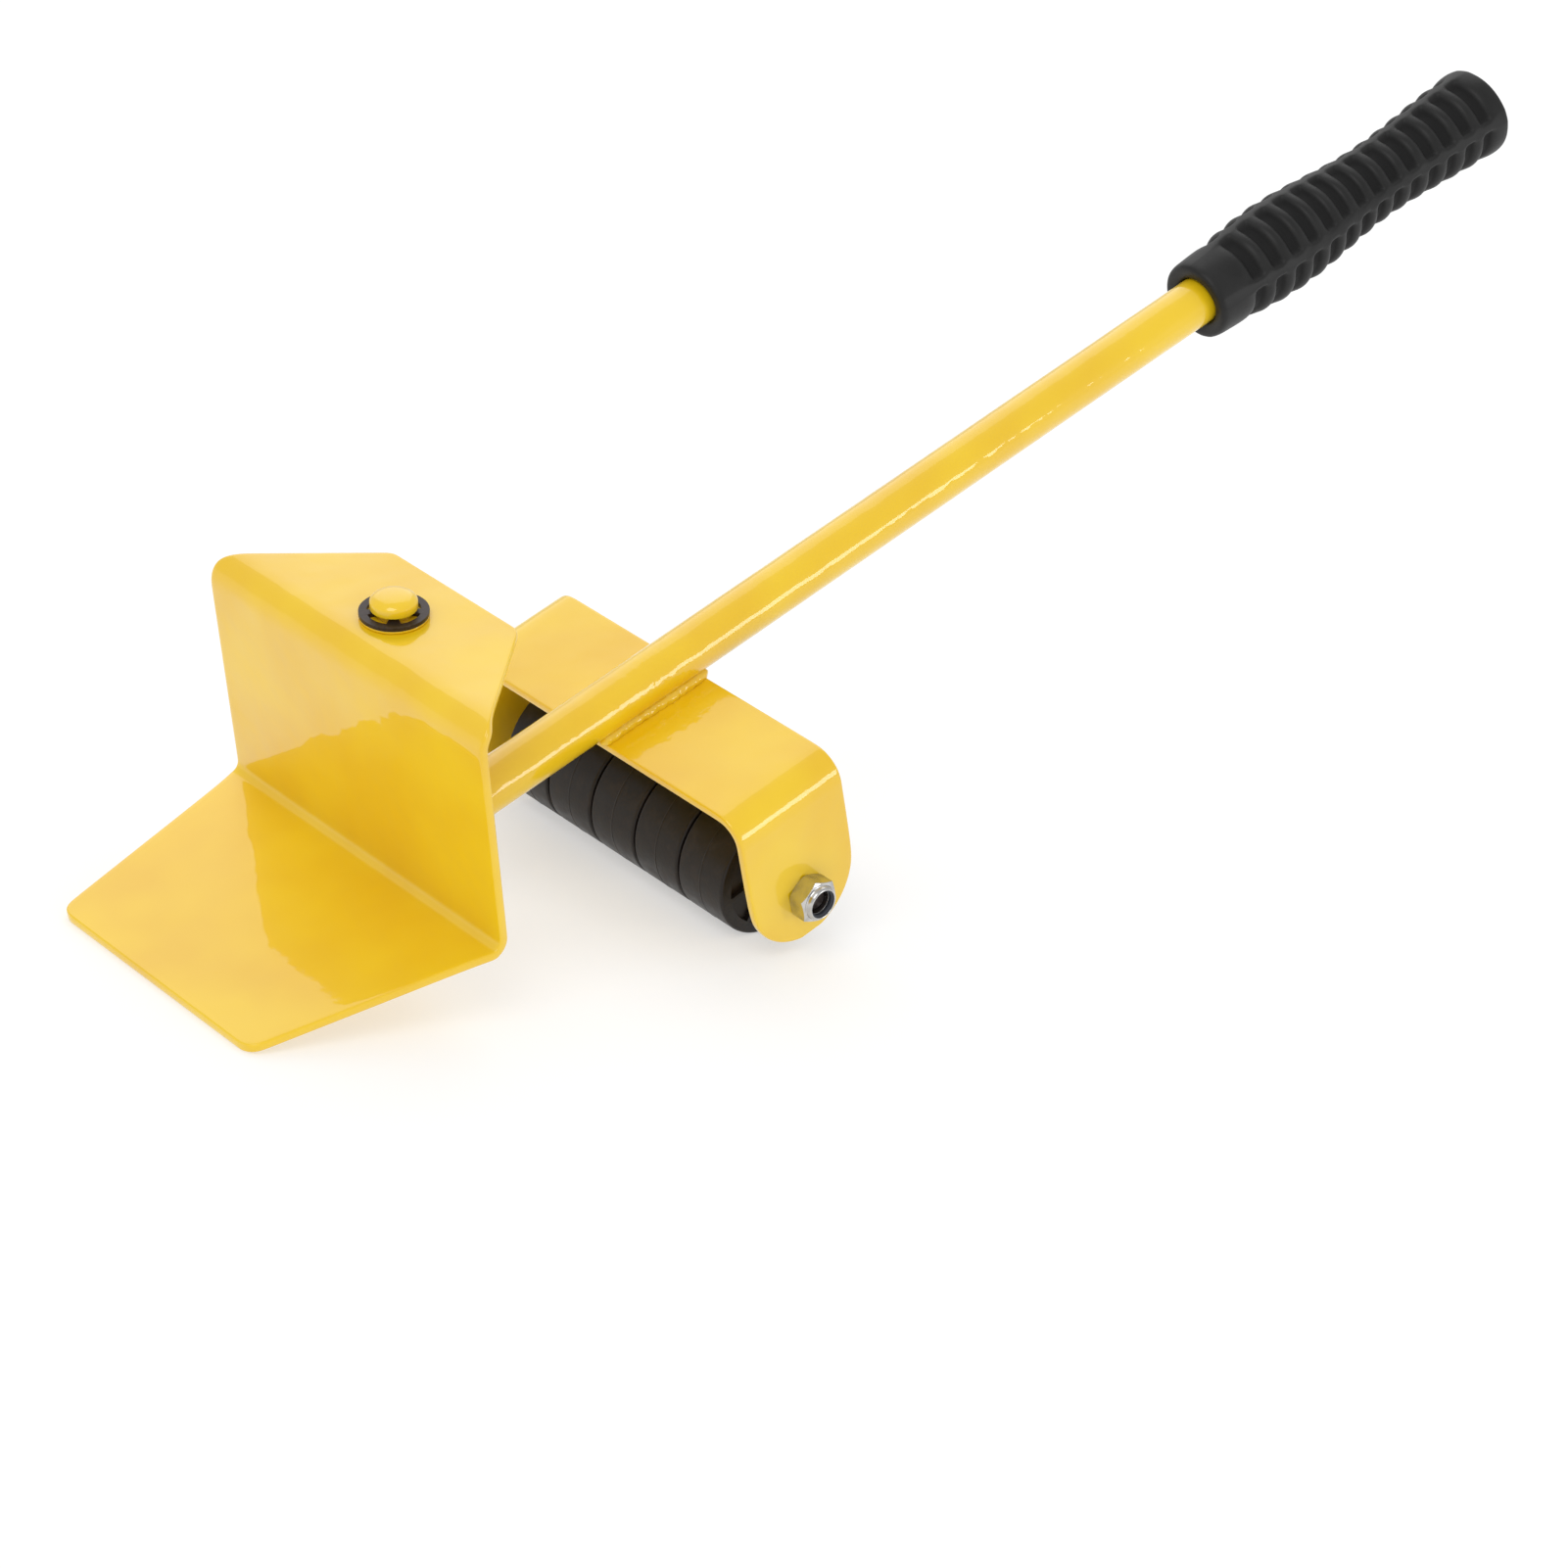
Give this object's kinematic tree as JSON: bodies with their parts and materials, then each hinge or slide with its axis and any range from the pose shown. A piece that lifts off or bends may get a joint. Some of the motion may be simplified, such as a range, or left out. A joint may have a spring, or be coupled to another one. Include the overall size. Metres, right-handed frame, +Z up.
{
  "type": "toe jack",
  "caption": "Hand lever for lifting the edge of furniture: a swivelling Z-bent toe plate on a bent steel bar with a ribbed grip, rocking on a row of rollers in a U bracket.",
  "frame": {"origin": "centre of the bounding box, on the floor that the toe's front edge and the rollers stand on", "axes": "+X from the toe towards the handle, +Y across towards the axle bolt's head, +Z up"},
  "size_m": [0.534, 0.1446, 0.2364],
  "materials": {
    "yellow_enamel": "glossy enamel over mild steel",
    "black_rubber": "satin moulded rubber",
    "wheel_plastic": "satin moulded nylon",
    "zinc": "bright zinc plate",
    "black_oxide": "phosphated spring steel",
    "insert_nylon": "satin nylon"
  },
  "bodies": {
    "lever": {"lever_bar": "yellow_enamel", "pivot_pin": "yellow_enamel", "pivot_washer_upper": "yellow_enamel", "pivot_washer_lower": "zinc", "e_clip": "black_oxide", "roller_bracket": "yellow_enamel", "weld_left": "yellow_enamel", "weld_right": "yellow_enamel", "axle_bolt": "black_oxide", "axle_nut": "zinc", "nut_insert": "insert_nylon", "spacer_left": "zinc", "spacer_right": "zinc", "hand_grip": "black_rubber"},
    "toe_plate": {"lifting_plate": "yellow_enamel"},
    "roller_1": {"wheel_1": "wheel_plastic"},
    "roller_2": {"wheel_2": "wheel_plastic"},
    "roller_3": {"wheel_3": "wheel_plastic"},
    "roller_4": {"wheel_4": "wheel_plastic"},
    "roller_5": {"wheel_5": "wheel_plastic"}
  },
  "joints": [
    {"name": "toe_swivel", "type": "hinge", "parent": "lever", "child": "toe_plate", "pos_m": [-0.19696, 0.00135, 0.1044], "axis": [-0.223, 0, 0.9748], "range_deg": [-90, 90]},
    {"name": "roller_1_spin", "type": "hinge", "parent": "lever", "child": "roller_1", "pos_m": [-0.07325, -0.03945, 0.021], "axis": [0, 1, 0], "continuous": true},
    {"name": "roller_2_spin", "type": "hinge", "parent": "lever", "child": "roller_2", "pos_m": [-0.07325, -0.01905, 0.021], "axis": [0, 1, 0], "continuous": true},
    {"name": "roller_3_spin", "type": "hinge", "parent": "lever", "child": "roller_3", "pos_m": [-0.07325, 0.00135, 0.021], "axis": [0, 1, 0], "continuous": true},
    {"name": "roller_4_spin", "type": "hinge", "parent": "lever", "child": "roller_4", "pos_m": [-0.07325, 0.02175, 0.021], "axis": [0, 1, 0], "continuous": true},
    {"name": "roller_5_spin", "type": "hinge", "parent": "lever", "child": "roller_5", "pos_m": [-0.07325, 0.04215, 0.021], "axis": [0, 1, 0], "continuous": true}
  ]
}
